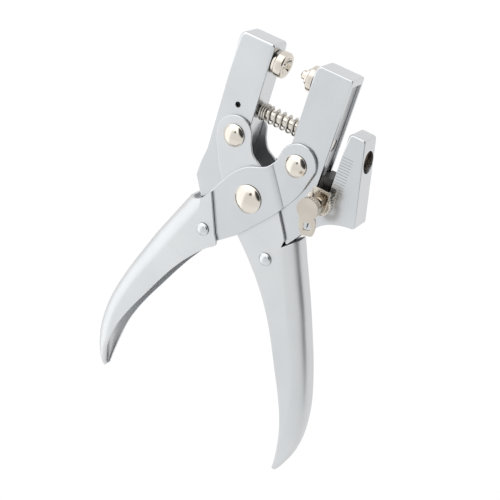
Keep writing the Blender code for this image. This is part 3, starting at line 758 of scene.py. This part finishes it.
def spring_points(per=32):
    x0, x1 = -JAW_IN + GAP + WIRE / 2, JAW_IN - GAP - WIRE / 2
    ct, ot, et = 2.6, 5.0, 0.9
    pc = WIRE * 1.22
    po = (x1 - x0 - pc * (ct + et)) / ot
    total = ct + ot + et
    n = int(total * per)
    # the pitch changes smoothly where closed coils meet open ones
    pitch = []
    for i in range(n):
        t = total * (i + 0.5) / n
        a = max(0.0, min(1.0, (t - ct) / 0.5 + 0.5))
        b = max(0.0, min(1.0, (total - et - t) / 0.5 + 0.5))
        w = (a * a * (3 - 2 * a)) * (b * b * (3 - 2 * b))
        pitch.append(pc + (po - pc) * w)
    k = (x1 - x0) / (sum(pitch) * total / n)
    x, pts = x0, []
    for i in range(n + 1):
        a = 2 * math.pi * total * i / n
        pts.append((x, ROD_Y + COIL_R * math.cos(a),
                    Z_MID + COIL_R * math.sin(a)))
        if i < n:
            x += pitch[i] * total / n * k
    return pts


cu = bpy.data.curves.new("vis_return_spring", 'CURVE')
cu.dimensions = '3D'
cu.bevel_depth = WIRE / 2 * MM
cu.bevel_resolution = 4
cu.use_fill_caps = True
sp = cu.splines.new('POLY')
pts = spring_points()
sp.points.add(len(pts) - 1)
for p, c in zip(sp.points, pts):
    p.co = (c[0] * MM, c[1] * MM, c[2] * MM, 1)
tmp = bpy.data.objects.new("spring_path", cu)
scene_coll.objects.link(tmp)
me = evaluated(tmp)
bpy.data.objects.remove(tmp, do_unlink=True)
tidy(me, 1e-6)
spring = add("vis_return_spring", me, SPRING)
me.shade_smooth()
me.set_sharp_from_angle(angle=math.radians(50))
place(spring, "left_jaw", "return_spring", slot="spring_wire")
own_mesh(spring)


# =============================== dies ==================================================
def rounded(prof, r=0.12, n=3):
    """Rounds the convex and concave corners of a turning profile."""
    out = [prof[0]]
    for a, b, c in zip(prof, prof[1:], prof[2:]):
        va = Vector((a[0] - b[0], a[1] - b[1]))
        vc = Vector((c[0] - b[0], c[1] - b[1]))
        if va.length < 1e-6 or vc.length < 1e-6 or va.angle(vc) > 2.6:
            out.append(b)
            continue
        k = min(r, va.length * 0.4, vc.length * 0.4)
        p0 = Vector(b) + va.normalized() * k
        p2 = Vector(b) + vc.normalized() * k
        for i in range(n + 1):
            t = i / n
            q = p0 * (1 - t) ** 2 + Vector(b) * 2 * t * (1 - t) + p2 * t * t
            out.append((q.x, q.y))
    out.append(prof[-1])
    return out


ld = turned("vis_left_die", rounded([
    (0, LEFT_DIE_X - 0.15), (0.75, LEFT_DIE_X - 0.35),
    (1.15, LEFT_DIE_X - 1.15), (1.9, LEFT_DIE_X - 1.25),
    (2.75, LEFT_DIE_X - 0.35), (3.0, LEFT_DIE_X), (4.1, LEFT_DIE_X),
    (4.5, LEFT_DIE_X - 0.4), (4.5, -6.6), (4.2, -6.9),
    (4.2, -JAW_IN + GAP), (1.95, -JAW_IN + GAP), (1.95, -16.2), (0, -16.2)]),
    (0, DIE_Y, Z_MID), 'X', NICKEL, 96)
place(ld, "left_jaw", "left_die", slot="nickel_plate")
rd = turned("vis_right_die", rounded([
    (0, 16.2), (1.95, 16.2), (1.95, JAW_IN - GAP), (4.5, JAW_IN - GAP),
    (4.5, 5.9), (4.1, 5.5), (3.0, 5.5), (2.9, 4.4), (2.4, 4.2), (1.65, 4.1),
    (1.6, RIGHT_DIE_X + 0.5), (1.1, RIGHT_DIE_X), (0, RIGHT_DIE_X)]),
    (0, DIE_Y, Z_MID), 'X', NICKEL, 96)
place(rd, "right_jaw", "right_die", slot="nickel_plate")

# =============================== punch arm ===============================================
ARM = ([(ARM_IN, 7.8)]
       + arc(ARM_IN + 1.2, 35.2, 1.2, 180, 90, 10)
       + arc(30.9, 35.3, 1.1, 90, 10, 10)
       + [(38.3, 7.6)] + arc(37.9, 7.3, 0.4, 10, -60, 4)
       + catmull([(37.4, 6.6), (35.0, 6.2), (32.0, 5.3), (29.0, 3.9),
                  (26.6, 2.0), (24.6, -0.6)], 8)
       + [(22.95, -1.2), (22.6, 3.0), (21.6, 7.8)])
arm = flat("vis_punch_arm", [ARM], Z_JB, Z_JF, ARM_M)
arm = edge_by_place(arm, lambda c: c.y > 34.9 * MM, 1.2, 0.34)
boolean(arm, flat("v_tongue", [[(11.4, 2.2), (23.4, 2.2), (23.4, 7.5),
                                (20.6, 7.6), (20.6, 12.2), (9.5, 12.2),
                                (9.5, 6.4)]], CZ0, CZ1, None, CUT), 'UNION')
boolean(arm, rod_cut("v_bush", (32, ROD_Y, Z_MID), 'X', 3.75, 20, 96))
arm.data = evaluated(arm)
arm.modifiers.clear()
# engraved scale: shallow grooves 1 mm apart on the front face
bmg = bmesh.new()
for i in range(13):
    y = 28.3 - i
    length = 4.1
    bmesh.ops.create_cube(bmg, size=1.0, matrix=Matrix.Translation(
        Vector((26.15, y, Z_JF)) * MM)
        @ Matrix.Rotation(math.radians(TILT), 4, 'Z')
        @ Matrix.Diagonal((length * MM, 0.17 * MM, 0.16 * MM, 1))
        @ Matrix.Translation((0.5, 0, 0)))
gm = bpy.data.meshes.new("v_scale")
bmg.to_mesh(gm)
bmg.free()
boolean(arm, add("v_scale", gm, None, CUT))
arm.data = evaluated(arm)
arm.modifiers.clear()
finish_edges(arm, 0)
place(arm, "right_jaw", "punch_arm", slot="chrome_plate")
bush = turned("vis_die_bush", rounded([
    (3.05, 31.2), (3.3, 31.2), (3.5, 31.0), (3.5, ARM_IN + 0.1),
    (2.15, ARM_IN + 0.1), (2.15, 28.2), (3.05, 28.4), (3.05, 31.2)], 0.1),
    (0, ROD_Y, Z_MID), 'X', BRASS, 96)
place(bush, "right_jaw", "punch_die_bush", slot="brass")

# =============================== depth stop ===============================================
sx, sy = STOP_AXIS
S0, S1 = JAW_OUT + GAP, ARM_IN - GAP
slide = flat("vis_stop_slide", [[(S0, 8.2), (S1, 8.2), (S1, 18.8),
                                 (S1 - 0.4, 19.2), (S0 + 0.4, 19.2),
                                 (S0, 18.8)]], Z_JB + 1.4, Z_JF - 0.3, STEEL)
boolean(slide, rod_cut("v_slide", (sx, sy, Z_JF), 'Z', 1.45, 14))
bake(slide)
finish_edges(slide, 0.15)
place(slide, "depth_stop", "stop_slide", slot="plain_steel")


def knurled(name, r, depth, teeth, z0, z1, bore, mat):
    """A disc with rounded knurl teeth round its rim and a bore."""
    out = []
    per = 6
    for i in range(teeth * per):
        a = 2 * math.pi * i / (teeth * per)
        w = 0.5 - 0.5 * math.cos(2 * math.pi * i / per)
        rr = r - depth * (1 - w ** 0.7)
        out.append((sx + rr * math.cos(a), sy + rr * math.sin(a)))
    ob = flat(name, [out, circle(sx, sy, bore, 48)], z0, z1, mat)
    ch = turned(name + "_env", rounded([
        (0, z1 + 0.01), (r - 0.42, z1 + 0.01), (r + 0.01, z1 - 0.3),
        (r + 0.01, z0 + 0.3), (r - 0.42, z0 - 0.01), (0, z0 - 0.01)], 0.08),
        (sx, sy, 0), 'Z', None, 96, CUT)
    boolean(ob, ch, 'INTERSECT')
    ob.data = evaluated(ob)
    ob.modifiers.clear()
    finish_edges(ob, 0, sharp=40)
    return ob


LN0, LN1 = Z_JF + 0.3, Z_JF + 1.9
place(knurled("vis_lock_nut", 4.7, 0.5, 30, LN0, LN1, 1.45, NICKEL),
      "lock_nut", "stop_lock_nut", slot="nickel_plate")
BR0, BR1 = LN1 + GAP, LN1 + GAP + 1.0
br = flat("vis_stop_bracket",
          [[(sx - 3.1, sy - 2.2), (sx - 2.98, sy - 2.48), (sx - 2.7, sy - 2.6),
            (sx + 3.1, sy - 2.6), (sx + 3.5, sy - 2.2), (sx + 3.5, sy + 5.2),
            (sx + 3.1, sy + 5.7), (sx - 2.7, sy + 5.7), (sx - 3.1, sy + 5.2)],
           circle(sx, sy, 2.1, 64)], BR0, BR1, NICKEL)
finish_edges(br, 0.14)
place(br, "depth_stop", "stop_bracket", slot="nickel_plate")
col = turned("vis_stop_collar", rounded([
    (1.85, BR1 + 1.1), (1.85, BR0 - 0.05), (1.45, BR0 - 0.05),
    (1.45, BR1 + 1.1), (1.85, BR1 + 1.1)], 0.08), (sx, sy, 0), 'Z', NICKEL, 64)
place(col, "depth_stop", "stop_collar", slot="nickel_plate")
TN0 = BR1 + 3.3
TN1 = TN0 + 2.1
place(knurled("vis_thumb_nut", 3.75, 0.42, 24, TN0, TN1, 1.25, NICKEL),
      "thumb_screw", "thumb_nut", slot="nickel_plate")
# screw with a real thread form: rings of a 0.5 mm pitch profile
prof = [(0, TN1), (1.2, TN1), (1.2, TN0)]
z = TN0
while z > Z_JF + 0.2:
    prof += [(1.2, z - 0.06), (0.95, z - 0.22), (0.95, z - 0.28),
             (1.2, z - 0.44)]
    z -= 0.5
prof += [(1.2, z), (1.2, Z_JF - 6.0), (0.8, Z_JF - 6.4), (0, Z_JF - 6.4)]
scr = turned("vis_stop_screw", prof, (sx, sy, 0), 'Z', NICKEL, 48, sharp=20)
place(scr, "thumb_screw", "stop_screw", slot="nickel_plate")
PD0, PD1 = TN1 + GAP, TN1 + GAP + 0.9
PTURN = math.radians(17)


def turn_about(p, a):
    c, s = math.cos(a), math.sin(a)
    return [(sx + x * c - y * s, sy + x * s + y * c) for x, y in p]


paddle_out = (arc(0, 0, 3.8, -48, 228, 60)
              + catmull([(-2.9, -3.4), (-3.0, -5.0), (-2.75, -6.8),
                         (-2.2, -8.4), (-1.7, -9.1)], 5)
              + catmull([(1.7, -9.1), (2.2, -8.4), (2.75, -6.8),
                         (3.0, -5.0), (2.9, -3.4)], 5))
paddle_win = [(-1.35, -6.9), (-1.05, -7.2), (1.05, -7.2), (1.35, -6.9),
              (1.35, -4.9), (1.05, -4.6), (-1.05, -4.6), (-1.35, -4.9)]
pad = flat("vis_thumb_paddle", [turn_about(paddle_out, PTURN),
                                turn_about(paddle_win, PTURN)],
           PD0, PD1, NICKEL_M)
finish_edges(pad, 0.16)
place(pad, "thumb_screw", "thumb_paddle", slot="nickel_plate")

# =============================== kept CAD nodes ============================================
for n, m in (("main_pivot_spacer", STEEL), ("right_handle_spacer", STEEL),
             ("left_handle_spacer", STEEL), ("rod_cross_pin", STEEL),
             ("left_die_set_screw", STEEL), ("right_die_set_screw", STEEL)):
    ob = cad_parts[n]
    ob.data.materials.clear()
    ob.data.materials.append(m)

# =============================== stage ======================================================
fm = bpy.data.materials.new("floor")
fm.use_nodes = True
nt = fm.node_tree
nt.nodes.clear()
out = nt.nodes.new("ShaderNodeOutputMaterial")
em = nt.nodes.new("ShaderNodeEmission")
em.inputs["Color"].default_value = (1.0, 1.0, 1.0, 1)
em.inputs["Strength"].default_value = 1.02
nt.links.new(em.outputs[0], out.inputs[0])
me = bpy.data.meshes.new("floor")
bm = bmesh.new()
bmesh.ops.create_grid(bm, x_segments=1, y_segments=1, size=2.0)
bmesh.ops.translate(bm, verts=bm.verts, vec=(0, 0, -0.0003))
bm.to_mesh(me)
bm.free()
floor = add("floor", me, fm)

# studio: a light tent, brightest at the far left, dark at the right, with the
# small dark opening that a camera looks through
world = bpy.data.worlds.new("studio")
bpy.context.scene.world = world
world.use_nodes = True
wt = world.node_tree
wt.nodes.clear()
wo = wt.nodes.new("ShaderNodeOutputWorld")
bg = wt.nodes.new("ShaderNodeBackground")
tc = wt.nodes.new("ShaderNodeTexCoord")
vn = wt.nodes.new("ShaderNodeVectorMath")
vn.operation = 'NORMALIZE'
wt.links.new(tc.outputs["Generated"], vn.inputs[0])
sep = wt.nodes.new("ShaderNodeSeparateXYZ")
wt.links.new(vn.outputs[0], sep.inputs[0])


def smooth(sock, a, b, c, d):
    m = wt.nodes.new("ShaderNodeMapRange")
    m.interpolation_type = 'SMOOTHSTEP'
    for k, v in zip(("From Min", "From Max", "To Min", "To Max"), (a, b, c, d)):
        m.inputs[k].default_value = v
    wt.links.new(sock, m.inputs["Value"])
    return m.outputs[0]


X, Y, Z = sep.outputs["X"], sep.outputs["Y"], sep.outputs["Z"]


def spot(centre, outer, inner, value):
    """Factor: 1 outside the outer angle, value inside the inner angle."""
    n = wt.nodes.new("ShaderNodeVectorMath")
    n.operation = 'DOT_PRODUCT'
    wt.links.new(vn.outputs[0], n.inputs[0])
    n.inputs[1].default_value = Vector(centre).normalized()
    return smooth(n.outputs["Value"], math.cos(math.radians(outer)),
                  math.cos(math.radians(inner)), 1.0, value)


level = math_node(wt, 'ADD', smooth(X, -0.34, -0.62, 1.02, 1.55),
                  smooth(Y, -0.43, -0.80, 0.0, 0.12))
level = math_node(wt, 'ADD', level, smooth(Y, 0.25, 0.75, 0.0, 0.70))
for c, o, i, v in (((0.77, 0.64, 0.0), 53.0, 44.0, 0.05),
                   ((0.0, 0.443, 0.899), 11.0, 5.0, 0.10)):
    level = math_node(wt, 'MULTIPLY', level, spot(c, o, i, v))
bg.inputs["Color"].default_value = (0.985, 0.995, 1.0, 1)
wt.links.new(level, bg.inputs["Strength"])
wt.links.new(bg.outputs[0], wo.inputs[0])

# =============================== camera =======================================================
cam = bpy.data.cameras.new("camera")
cam.sensor_fit = 'HORIZONTAL'
cam.sensor_width = 36.0
cam.lens = 1074.726 / 500 * 36.0
cam.clip_start = 0.01
cam.clip_end = 10
co = bpy.data.objects.new("camera", cam)
scene_coll.objects.link(co)
RX = Vector((0.82876, 0.27354, -0.4882))
RY = Vector((0.45091, -0.84309, 0.29307))
RZ = Vector((-0.33142, -0.46301, -0.82206))
M = Matrix.Identity(4)
for i in range(3):
    M[i][0] = RX[i]
    M[i][1] = -RY[i]
    M[i][2] = -RZ[i]
M.translation = Vector((0.12977, 0.15509, 0.30795 + 0.01275))
co.matrix_world = M
bpy.context.scene.camera = co
bpy.context.scene.view_settings.view_transform = 'Standard'
